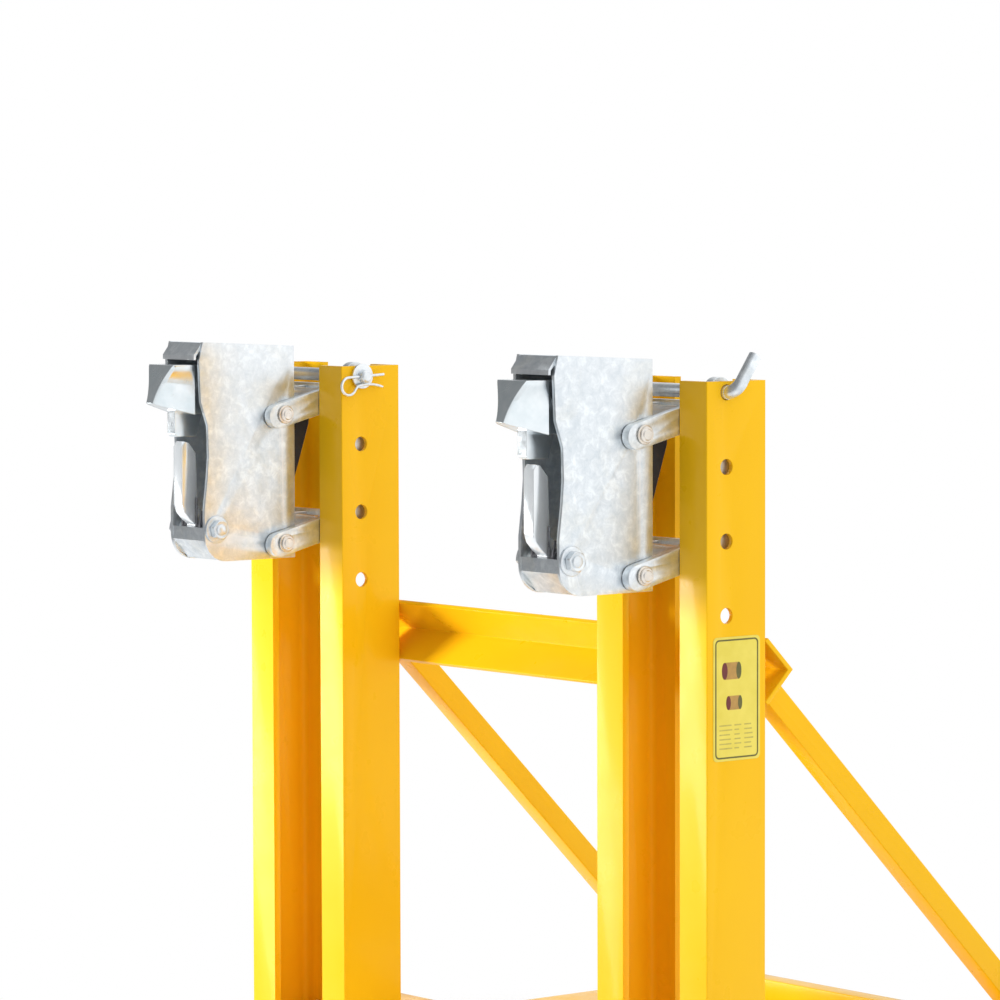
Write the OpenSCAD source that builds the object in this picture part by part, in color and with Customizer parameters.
// Forklift drum lifter: two parrot-beak rim grippers on a welded twin-mast frame.
// Origin: on the floor under the middle of the footprint. X across, +Y towards the truck, +Z up.

/* [Frame] */
// Distance between the two mast centres, one drum each
drum_pitch = 600; // [580:5:640]
// Height of each mast above its fork sleeve
mast_h = 757; // [700:1:820]
// Width of each mast over its two channels
mast_w = 170; // [168:1:176]
// Depth of the mast channels
mast_d = 78; // [78:1:84]
// Gap between the two channels of a mast
slot_w = 88; // [88:1:92]
// Thickness of the mast channels' webs
web_t = 5; // [4:0.5:6]
// Width of each fork sleeve
sleeve_w = 170; // [170:5:190]
// Height of each fork sleeve
sleeve_h = 70; // [66:1:80]
// Wall of the fork sleeves
sleeve_t = 5; // [4:0.5:6]
// Length of the fork sleeves behind the mast fronts
sleeve_len = 650; // [640:5:720]
// Leg of the upper crossbar's angle iron
angle_leg = 48; // [45:1:50]
// Thickness of the angle iron
angle_t = 5; // [4:0.5:6]
// Centre of the upper crossbar below the mast tops
crossbar_drop = 292; // [260:1:320]
// Side of the square tube used for the braces and the rear crossbar
brace_w = 25; // [20:1:30]
// Side of the lower crossbar's square tube
lower_w = 50; // [40:1:50]

/* [Height holes] */
// Diameter of the lock holes in the mast sides
lock_hole_d = 16; // [15:0.5:18]
// Spacing of the lock holes
lock_pitch = 74; // [70:1:80]
// Diameter of the lock pin
lock_pin_d = 14; // [12:0.5:14]

/* [Gripper head] */
// Thickness of the housing's side plates
plate_t = 4; // [3:0.5:4]
// Half width of the gripper housing
head_half = 32; // [30:0.5:32]
// Thickness of the four parallel links
link_t = 10; // [8:0.5:10]
// Width of the links
link_w = 26; // [24:1:28]
// Width of the lower jaw
jaw_w = 16; // [14:1:20]
// Diameter of the link pivots
link_pin_d = 12; // [10:0.5:12]
// Diameter of the lower jaw's pivot
jaw_pin_d = 16; // [12:0.5:16]

/* [Drum rests] */
// Radius of the drums that the rests are curved to
drum_r = 290; // [285:1:295]
// Height of the drum rests
saddle_h = 72; // [60:1:74]
// Half angle that each rest wraps round the drum
saddle_angle = 23; // [18:1:24]
// Thickness of the rubber pads
pad_t = 10; // [8:1:10]

/* [Fork clamps] */
// Thread diameter of the fork clamp screws
clamp_d = 16; // [14:1:18]
// Length of the clamp screws' cross handles
clamp_bar_len = 58; // [50:2:58]

/* [Hidden] */
$fn = 48;
e = 0.01;
fit = 0.05;                                // radial clearance of a running pin
open_fit = 0.3;                            // radial clearance of the opened pivot
mast_top = sleeve_h + mast_h;
beak_reach = 195;                          // beak nose in front of the masts
drum_y = -(185 + drum_r);                  // drum centre in front of the masts
pad_reach = -drum_y - drum_r * cos(saddle_angle - 1);
mast_y = (pad_reach - sleeve_len) / 2;     // puts the footprint's middle at the origin
flange_t = 8;                              // thickness of the mast channels' flanges
root_r = 8;                                // radius where a channel's flange meets its web
lock_y = 26;                               // lock holes behind the mast fronts
lock_z = -11;                              // first lock hole below the mast tops
bolt_x = 57;                               // mast bolts either side of the mast centre
lower_z = sleeve_h + lower_w / 2;          // mast bolt height
angle_half = angle_leg / sqrt(2);
angle_y = mast_d + angle_t / sqrt(2) + angle_half;   // back corner of the upper crossbar
brace_k = -170;                            // y + z along each brace, from a mast's top front
rear_y = 606;                              // front of the rear crossbar
// Gripper pivots, [y, z] from a mast's top front edge
carriage_up = [19, -36];
carriage_low = [19, -176];
head_up = [-45, -52];
head_low = [-45, -192];
jaw_pivot = [-130, -174];
link_x0 = head_half + 1;                   // inner face of the links
cheek_x0 = 66;                             // carriage cheeks, inner face
cheek_t = 10;
lug_x0 = 24;                               // carriage lugs, inner face
jaw_head = head_half - plate_t;            // inner half width of the housing
rear_head = -25;                           // rear face of the housing
clamp_y = 560;                             // fork clamps behind the mast fronts
foot_t = 6;
boss_t = 14;
pin_end = 13;                              // lock pin beyond the mast side, clip end
handle_turn = [-35, 55];                   // lock pin handles above horizontal, left and right
clip_tilt = 3;                             // the clip leans down towards its ring
yellow = "gold";
zinc = "lightsteelblue";
dark = "dimgray";

// ---- helpers ----
module at_mast(side) {
    translate([side * drum_pitch / 2, mast_y, mast_top]) children();
}

module x_rod(d, x0, x1, p) {
    translate([x0, p[0], p[1]]) rotate([0, 90, 0]) cylinder(d = d, h = x1 - x0);
}

// A y-z outline pushed out along x
module x_extrude(x0, x1) {
    translate([x0, 0, 0]) rotate([90, 0, 90]) linear_extrude(x1 - x0) children();
}

module square_tube(w, t, len) {
    difference() {
        translate([-w / 2, -w / 2, 0]) cube([w, w, len]);
        translate([t - w / 2, t - w / 2, -1]) cube([w - 2 * t, w - 2 * t, len + 2]);
    }
}

module rounded_rect(w, h, r) {
    translate([r, 0]) square([w - 2 * r, h]);
    translate([0, r]) square([w, h - 2 * r]);
    for (x = [r, w - r], y = [r, h - r]) translate([x, y]) circle(r = r);
}

module hexagon_head(af, h) {
    cylinder(d = af / cos(30), h = h, $fn = 6);
}

// Flat bar between two pivots, with round ends
function half_round(c, r, start) =
    [for (a = [start:7.5:start + 180]) c + r * [cos(a), sin(a)]];
module bar_outline(a, b, w) {
    turn = atan2(b[1] - a[1], b[0] - a[0]);
    polygon(concat(half_round(a, w / 2, turn + 90), half_round(b, w / 2, turn - 90)));
}

// Round wire swept along a path of points
function ring_at(p, t, r, n) =
    let (u = abs(t[0]) > 0.9 ? [0, 1, 0] : [1, 0, 0], a = cross(t, u), v = a / norm(a), w = cross(t, v))
    [for (i = [0:n - 1]) p + r * (cos(360 * i / n) * v + sin(360 * i / n) * w)];
function tangent(path, i) =
    let (d = path[min(i + 1, len(path) - 1)] - path[max(i - 1, 0)]) d / norm(d);
module wire(path, d, n = 8) {
    m = len(path);
    pts = [for (i = [0:m - 1]) each ring_at(path[i], tangent(path, i), d / 2, n)];
    sides = [for (i = [0:m - 2], j = [0:n - 1])
        [i * n + j, i * n + (j + 1) % n, (i + 1) * n + (j + 1) % n, (i + 1) * n + j]];
    first = [for (j = [n - 1:-1:0]) j];
    last = [for (j = [0:n - 1]) (m - 1) * n + j];
    polyhedron(points = pts, faces = concat(sides, [first, last]));
}

// ---- welded frame ----
// A mast is two channels that face each other, with the same gap in front and behind
module mast_outline() {
    difference() {
        rounded_rect(mast_w, mast_d, 1);
        translate([web_t, flange_t])
            rounded_rect(mast_w - 2 * web_t, mast_d - 2 * flange_t, root_r);
        translate([(mast_w - slot_w) / 2, -1]) square([slot_w, mast_d + 2]);
    }
}

module mast(side) {
    color(yellow) difference() {
        translate([side * drum_pitch / 2 - mast_w / 2, mast_y, sleeve_h])
            linear_extrude(mast_h) mast_outline();
        at_mast(side) for (i = [0:3])
            x_rod(lock_hole_d, -mast_w / 2 - 1, mast_w / 2 + 1, [lock_y, lock_z - i * lock_pitch]);
        for (x = [-bolt_x, bolt_x])
            translate([side * drum_pitch / 2 + x, mast_y + mast_d - flange_t - 1, lower_z])
                rotate([-90, 0, 0]) cylinder(d = 17, h = flange_t + 2);
    }
}

// Cross-section of the upper crossbar in mast coordinates, corner to the back
module angle_outline() {
    translate([angle_y, -crossbar_drop]) rotate(135) {
        square([angle_leg, angle_t]);
        square([angle_t, angle_leg]);
    }
}

frame_half = drum_pitch / 2 + mast_w / 2;
module upper_crossbar() {
    color(yellow) translate([0, mast_y, mast_top])
        x_extrude(-frame_half, frame_half) angle_outline();
}

module lower_crossbar() {
    color(yellow) difference() {
        translate([-frame_half, mast_y + mast_d + lower_w / 2, lower_z])
            rotate([0, 90, 0]) square_tube(lower_w, 4, 2 * frame_half);
        for (s = [-1, 1], x = [-bolt_x, bolt_x])
            translate([s * drum_pitch / 2 + x, mast_y + mast_d - 1, lower_z])
                rotate([-90, 0, 0]) cylinder(d = 17, h = lower_w + 2);
    }
}

module rear_crossbar() {
    color(yellow) translate([-frame_half, mast_y + rear_y + brace_w / 2, sleeve_h + brace_w / 2])
        rotate([0, 90, 0]) square_tube(brace_w, 2.5, 2 * frame_half);
}

// The brace laps over the crossbar's back corner and stands on the fork sleeve
module brace(side) {
    foot_y = brace_k + mast_h;
    lap = 22;
    start_y = angle_y + (brace_k - angle_y + crossbar_drop) / 2 - lap / sqrt(2);
    run = (foot_y - start_y) * sqrt(2);
    color(yellow) at_mast(side) difference() {
        translate([0, start_y, brace_k - start_y]) rotate([-135, 0, 0])
            square_tube(brace_w, 2.5, run + brace_w);
        translate([-brace_w, foot_y - 2 * brace_w, -mast_h - 3 * brace_w])
            cube([2 * brace_w, 4 * brace_w, 3 * brace_w]);
        x_extrude(-brace_w, brace_w) translate([angle_y, -crossbar_drop]) rotate(135)
            polygon([[0, 0], [angle_leg, 0], [angle_leg, angle_t], [angle_t, angle_leg], [0, angle_leg]]);
    }
}

module fork_sleeve(side) {
    front_t = 6;
    color(yellow) translate([side * drum_pitch / 2 - sleeve_w / 2, mast_y, 0]) {
        difference() {
            cube([sleeve_w, sleeve_len, sleeve_h]);
            translate([sleeve_t, front_t, sleeve_t])
                cube([sleeve_w - 2 * sleeve_t, sleeve_len, sleeve_h - 2 * sleeve_t]);
            translate([sleeve_w / 2 + side * (sleeve_w / 2 - sleeve_t - 1), clamp_y, sleeve_h / 2])
                rotate([0, side * 90, 0]) cylinder(r = clamp_d / 2 + fit, h = sleeve_t + 2);
        }
        translate([sleeve_w / 2 + side * sleeve_w / 2, clamp_y, sleeve_h / 2])
            rotate([0, side * 90, 0]) difference() {
                hexagon_head(30, boss_t);
                translate([0, 0, -1]) cylinder(r = clamp_d / 2 + fit, h = boss_t + 2);
            }
    }
}

// ---- drum rests ----
arm_w = 40;
saddle_back = drum_y + drum_r + pad_t + 6;
module rest_arm(side) {
    color(yellow) translate([side * drum_pitch / 2, mast_y, sleeve_h / 2])
        rotate([90, 0, 0]) square_tube(arm_w, 4, -saddle_back);
}

module drum_arc(side, r0, r1, z0, z1, half) {
    translate([side * drum_pitch / 2, mast_y + drum_y, 0])
        rotate(90 - half) rotate_extrude(angle = 2 * half, $fn = 180)
            translate([r0, z0]) square([r1 - r0, z1 - z0]);
}

saddle_z0 = 6;
module drum_saddle(side) {
    color(yellow) difference() {
        drum_arc(side, drum_r + pad_t, drum_r + pad_t + 6, saddle_z0, saddle_z0 + saddle_h, saddle_angle);
        pad_studs(side, 9, 20);
    }
}

pad_in = 5;                                // the steel shows this far round each pad
module rubber_pad(side) {
    half = saddle_angle - 1;
    color(dark) drum_arc(side, drum_r, drum_r + pad_t, saddle_z0 + pad_in, saddle_z0 + saddle_h - pad_in, half);
}

module pad_studs(side, d, h) {
    for (a = [-16, 16], z = [-20, 20])
        translate([side * drum_pitch / 2, mast_y + drum_y, saddle_z0 + saddle_h / 2 + z])
            rotate(90 + a) translate([drum_r + pad_t, 0, 0]) rotate([0, 90, 0]) cylinder(d = d, h = h);
}

module pad_nuts() {
    color(zinc) for (side = [-1, 1]) {
        pad_studs(side, 8, 16);
        for (a = [-16, 16], z = [-20, 20])
            translate([side * drum_pitch / 2, mast_y + drum_y, saddle_z0 + saddle_h / 2 + z])
                rotate(90 + a) translate([drum_r + pad_t + 6, 0, 0]) rotate([0, 90, 0]) {
                    cylinder(d = 17, h = 1.5);
                    translate([0, 0, 1.5]) hexagon_head(13, 6.5);
                }
    }
}

// ---- fasteners of the frame ----
module mast_bolts() {
    grip = flange_t + lower_w;
    color(zinc) for (side = [-1, 1], x = [-bolt_x, bolt_x])
        translate([side * drum_pitch / 2 + x, mast_y + mast_d - flange_t, lower_z]) rotate([-90, 0, 0]) {
            translate([0, 0, -3]) cylinder(d = 28, h = 3);
            translate([0, 0, -13]) hexagon_head(24, 10);
            translate([0, 0, -3]) cylinder(d = 16, h = grip + 24);
            translate([0, 0, grip]) cylinder(d = 30, h = 3);
            translate([0, 0, grip + 3]) hexagon_head(24, 13);
        }
}

label_w = 62;
label_h = 124;
module label_plate() {
    color("khaki") translate([frame_half, mast_y + (mast_d - label_w) / 2, mast_top - 254 - label_h])
        rotate([90, 0, 90]) linear_extrude(0.6) rounded_rect(label_w, label_h, 5);
}

// ---- fork clamps ----
// Clamp coordinates: x points inwards from the sleeve's outer wall
module at_clamp(side) {
    translate([side * frame_half, mast_y + clamp_y, sleeve_h / 2])
        rotate([0, side > 0 ? -90 : 90, 0]) children();
}

module clamp_foot(side) {
    color(zinc) at_clamp(side) difference() {
        translate([0, 0, sleeve_t + 0.5]) cylinder(d = 34, h = foot_t);
        translate([0, 0, sleeve_t]) cylinder(d = clamp_d - 4 + 2 * fit, h = foot_t - 2 + 0.5);
    }
}

clamp_out = 64;
module clamp_screw(side) {
    color(zinc) at_clamp(side) difference() {
        union() {
            translate([0, 0, -clamp_out]) cylinder(d = clamp_d, h = clamp_out + sleeve_t);
            translate([0, 0, sleeve_t - e]) cylinder(d = clamp_d - 4, h = foot_t - 2 - 0.2);
            translate([0, 0, -clamp_out - 6]) cylinder(d = clamp_d + 6, h = 18);
        }
        translate([0, 0, -clamp_out + 3]) rotate([90, 0, 0])
            translate([0, 0, -clamp_d]) cylinder(d = 10, h = 2 * clamp_d);
    }
}

module clamp_bar(side) {
    color(zinc) at_clamp(side) translate([0, 0, -clamp_out + 3]) rotate([90, 0, 0]) {
        translate([0, 0, -clamp_bar_len / 2]) cylinder(d = 10, h = clamp_bar_len);
        for (z = [-clamp_bar_len / 2 - 4, clamp_bar_len / 2 - 4])
            translate([0, 0, z]) cylinder(d = 15, h = 8);
    }
}

// ---- carriage, held in the mast by the lock pin ----
module carriage(side) {
    low_end = -195;
    block_y = 33;
    cheek_w = 30;
    color(zinc) at_mast(side) {
        for (s = [-1, 1]) {
            x0 = s > 0 ? cheek_x0 : -cheek_x0 - cheek_t;
            difference() {
                x_extrude(x0, x0 + cheek_t)
                    bar_outline([lock_y, lock_z], [lock_y, low_end], cheek_w);
                x_rod(lock_pin_d + 2 * fit, x0 - 1, x0 + cheek_t + 1, [lock_y, lock_z]);
            }
            lug_x = s > 0 ? lug_x0 : -lug_x0 - 8;
            for (p = [carriage_up, carriage_low]) difference() {
                x_extrude(lug_x, lug_x + 8) {
                    translate(p) circle(d = 24);
                    translate([p[0], p[1] - 12]) square([block_y - p[0], 24]);
                }
                x_rod(link_pin_d + 2 * fit, lug_x - 1, lug_x + 9, p);
            }
        }
        for (p = [carriage_up, carriage_low])
            translate([-cheek_x0, block_y, p[1] - 15]) cube([2 * cheek_x0, 8, 30]);
    }
}

// Bolt and spacer tube at each of the carriage's two pivots
module carriage_pivots(side) {
    color(zinc) at_mast(side) for (p = [carriage_up, carriage_low]) {
        x_rod(link_pin_d, -link_x0 - link_t - 15, link_x0 + link_t + 5, p);
        x_rod(20, -lug_x0 + 0.1, lug_x0 - 0.1, p);
        x_rod(20, link_x0 + link_t + 0.5, link_x0 + link_t + 2.5, p);
        x_rod(20, -link_x0 - link_t - 2.5, -link_x0 - link_t - 0.5, p);
        translate([link_x0 + link_t + 2.5, p[0], p[1]]) rotate([0, 90, 0]) hexagon_head(18, 7.5);
        translate([-link_x0 - link_t - 12.5, p[0], p[1]]) rotate([0, 90, 0]) hexagon_head(18, 10);
    }
}

// Coordinates of the lock pin: x points to the outer side of its mast
module at_lock(side) {
    at_mast(side) translate([0, lock_y, lock_z]) mirror([side > 0 ? 0 : 1, 0, 0]) children();
}

clip_hole_x = -mast_w / 2 - 7;
module lock_pin(side) {
    bend = 12;
    arm = 33;
    half = mast_w / 2;
    color(zinc) at_lock(side) difference() {
        union() {
            translate([-half - pin_end + 2, 0, 0]) rotate([0, 90, 0])
                cylinder(d = lock_pin_d, h = 2 * half + pin_end + 1);
            translate([-half - pin_end, 0, 0]) rotate([0, 90, 0])
                cylinder(d1 = lock_pin_d - 4, d2 = lock_pin_d, h = 2);
            translate([-half - 4, 0, 0]) rotate([0, 90, 0]) cylinder(d = 27, h = 2.5);
            rotate([side > 0 ? handle_turn[1] : handle_turn[0], 0, 0]) {
                translate([half + 2, bend, 0]) rotate(-90)
                    rotate_extrude(angle = 90) translate([bend, 0]) circle(d = lock_pin_d - 0.6);
                translate([half + 2 + bend, bend - 1, 0]) rotate([-90, 0, 0])
                    cylinder(d = lock_pin_d - 1, h = arm);
            }
        }
        translate([clip_hole_x, 0, 0]) rotate([clip_tilt, 0, 0]) rotate([90, 0, 0])
            translate([0, 0, -lock_pin_d]) cylinder(d = 4, h = 2 * lock_pin_d);
    }
}

// Spring clip: a straight leg through the pin, a ring, and a leg under the pin
clip_wire = 3;
clip_under = -(lock_pin_d / 2 + clip_wire / 2 + 0.4);
clip_ring = 9.5;
clip_path = concat(
    [[0, 26, 0], [0, 0, 0], [0, -18, 0]],
    [for (a = [90:15:330]) [0, -22 + clip_ring * cos(a), clip_ring * (sin(a) - 1)]],
    [[0, -11, clip_under - 2.4], [0, -8, clip_under - 0.8], [0, 0, clip_under],
     [0, 8, clip_under - 0.6], [0, 15, clip_under - 1.8], [0, 24, clip_under - 4.5]]
);
module r_clip(side) {
    color(zinc) at_lock(side) translate([clip_hole_x, 0, 0]) rotate([clip_tilt, 0, 0])
        wire(clip_path, clip_wire);
}

// ---- parallel links ----
link_nose = 8;                             // how far a link reaches past its front bolt
module link_pair(side, a, b, a_fit) {
    color(zinc) at_mast(side) for (x = [-link_x0 - link_t, link_x0]) difference() {
        x_extrude(x, x + link_t) bar_outline(a + link_nose * (a - b) / norm(a - b), b, link_w);
        x_rod(link_pin_d + 2 * a_fit, x - 1, x + link_t + 1, a);
        x_rod(link_pin_d + 2 * fit, x - 1, x + link_t + 1, b);
    }
}

// ---- gripper head ----
module side_plate_outline() {
    polygon([
        [rear_head, 22], [rear_head, -209],
        for (a = [270:-11.25:180]) [-117, -181] + 28 * [cos(a), sin(a)],
        [-145, -152], [-141, -120], [-139, -95], [-140, -62], [-149, -36], [-151, 8], [-146, 28]
    ]);
}

// Two side plates, a rear plate, a top plate with a front lip, and a bent plate under the jaw
module head_housing(side) {
    color(zinc) at_mast(side) {
        for (x = [-head_half, jaw_head]) difference() {
            x_extrude(x, x + plate_t) side_plate_outline();
            for (p = [head_up, head_low]) x_rod(link_pin_d + 2 * fit, x - 1, x + plate_t + 1, p);
            x_rod(jaw_pin_d - 4 + 2 * fit, x - 1, x + plate_t + 1, jaw_pivot);
        }
        translate([-jaw_head - 1, rear_head - plate_t - 0.5, -203])
            cube([2 * jaw_head + 2, plate_t, 222]);
        x_extrude(-jaw_head - 1, jaw_head + 1)
            polygon([[rear_head - 1, 18], [rear_head - 1, 21.5], [-145.5, 27.5], [-156, 14], [-156, 9],
                     [-153, 9], [-153, 13], [-144, 24]]);
        x_extrude(-jaw_head - 1, jaw_head + 1)
            polygon([[-144.6, -172], [-144.6, -186], [-125.5, -207.5], [-100, -207.5],
                     [-100, -205], [-124.4, -205], [-142.1, -185], [-142.1, -172]]);
    }
}

// Pins and spacer tubes where the links meet the housing
module link_pins(side) {
    color(zinc) at_mast(side) for (p = [head_up, head_low]) {
        x_rod(link_pin_d, -link_x0 - link_t - 6, link_x0 + link_t + 6, p);
        x_rod(18, -jaw_head + 0.1, jaw_head - 0.1, p);
        for (x = [-link_x0 - link_t - 2.5, link_x0 + link_t + 0.5]) x_rod(20, x, x + 2, p);
        for (x = [-link_x0 - link_t - 5, link_x0 + link_t + 2.5]) x_rod(16, x, x + 2.5, p);
    }
}

// Cross pins that carry the upper jaw, welded between the side plates
beak_pins_at = [[-102, -18], [-132, -18]];
module beak_pins(side) {
    color(zinc) at_mast(side) for (p = beak_pins_at) x_rod(10, -jaw_head, jaw_head, p);
}

// Upper jaw: a nose that narrows and hooks down, a tail in the housing, and a narrow neck
module beak(side) {
    nose_half = 23;
    tail_half = 19;
    neck_half = 7;
    tip_half = 8;
    color(dark) at_mast(side) {
        hull() {
            x_extrude(-nose_half, nose_half) polygon([[-150, 4], [-179, 4], [-172, -12], [-150, -50]]);
            x_extrude(-tip_half, tip_half) polygon([[-beak_reach, -37], [-beak_reach + 1, -33], [-184, -39]]);
        }
        difference() {
            x_extrude(-tail_half, tail_half)
                polygon([[-150.5, 4], [-92, 4], [-92, -34], [-128, -50], [-150.5, -49]]);
            for (p = beak_pins_at) x_rod(10, -tail_half - 1, tail_half + 1, p);
        }
        x_extrude(-neck_half, neck_half)
            polygon([[-166, -40], [-166, -71], [-163, -74], [-138, -74], [-130, -48], [-140, -40]]);
    }
}

module lower_jaw(side) {
    color(zinc) at_mast(side) difference() {
        union() {
            x_extrude(-jaw_w / 2, jaw_w / 2) polygon([
                [-158, -85], [-154, -79], [-149, -80], [-139, -92], [-137, -150], [-120, -166],
                [-120, -172], [-140, -170], [-149, -163], [-155, -156], [-158, -147]
            ]);
            x_rod(23, -jaw_w / 2, jaw_w / 2, jaw_pivot);
        }
        x_rod(jaw_pin_d + 2 * fit, -jaw_w, jaw_w, jaw_pivot);
    }
}

module jaw_bolt(side) {
    color(zinc) at_mast(side) {
        x_rod(jaw_pin_d, -jaw_head + 0.1, jaw_head - 0.1, jaw_pivot);
        x_rod(jaw_pin_d - 4, -head_half - 12, head_half + 12, jaw_pivot);
        for (x = [-head_half - 2.5, head_half]) x_rod(30, x, x + 2.5, jaw_pivot);
        for (x = [-head_half - 10.5, head_half + 2.5])
            translate([x, jaw_pivot[0], jaw_pivot[1]]) rotate([0, 90, 0]) hexagon_head(19, 8);
    }
}

// Torsion spring: three coils on each side of the jaw
module jaw_spring(side) {
    spring_wire = 2.4;
    coil_r = jaw_pin_d / 2 + spring_wire;
    color(dark) at_mast(side) for (s = [-1, 1], i = [0:2])
        translate([s * (jaw_w / 2 + 2 + i * 2.8), jaw_pivot[0], jaw_pivot[1]]) rotate([0, 90, 0])
            rotate_extrude() translate([coil_r, 0]) circle(d = spring_wire, $fn = 16);
}

// Rubber wedge between the housing and the mast
module buffer(side) {
    color("black") at_mast(side) x_extrude(-28, 28)
        polygon([[rear_head, -56], [-1.5, -56], [-2.5, -64], [rear_head + 2, -126], [rear_head, -126]]);
}

mast(-1);  // left_mast
mast(1);  // right_mast
upper_crossbar();
lower_crossbar();
rear_crossbar();
brace(-1);  // left_brace
brace(1);  // right_brace
fork_sleeve(-1);  // left_fork_sleeve
fork_sleeve(1);  // right_fork_sleeve
rest_arm(-1);  // left_rest_arm
rest_arm(1);  // right_rest_arm
drum_saddle(-1);  // left_drum_saddle
drum_saddle(1);  // right_drum_saddle
rubber_pad(-1);  // left_rubber_pad
rubber_pad(1);  // right_rubber_pad
pad_nuts();
mast_bolts();
label_plate();
clamp_foot(-1);  // left_clamp_foot
clamp_foot(1);  // right_clamp_foot
clamp_screw(-1);  // left_clamp_screw
clamp_screw(1);  // right_clamp_screw
clamp_bar(-1);  // left_clamp_bar
clamp_bar(1);  // right_clamp_bar
carriage(-1);  // left_carriage
carriage(1);  // right_carriage
carriage_pivots(-1);  // left_carriage_pivots
carriage_pivots(1);  // right_carriage_pivots
lock_pin(-1);  // left_lock_pin
lock_pin(1);  // right_lock_pin
r_clip(-1);  // left_r_clip
r_clip(1);  // right_r_clip
link_pair(-1, head_up, carriage_up, fit);  // left_upper_links
link_pair(1, head_up, carriage_up, fit);  // right_upper_links
link_pair(-1, head_low, carriage_low, open_fit);  // left_lower_links
link_pair(1, head_low, carriage_low, open_fit);  // right_lower_links
head_housing(-1);  // left_head_housing
head_housing(1);  // right_head_housing
link_pins(-1);  // left_link_pins
link_pins(1);  // right_link_pins
beak(-1);  // left_beak
beak(1);  // right_beak
beak_pins(-1);  // left_beak_pins
beak_pins(1);  // right_beak_pins
lower_jaw(-1);  // left_lower_jaw
lower_jaw(1);  // right_lower_jaw
jaw_bolt(-1);  // left_jaw_bolt
jaw_bolt(1);  // right_jaw_bolt
jaw_spring(-1);  // left_jaw_spring
jaw_spring(1);  // right_jaw_spring
buffer(-1);  // left_buffer
buffer(1);  // right_buffer
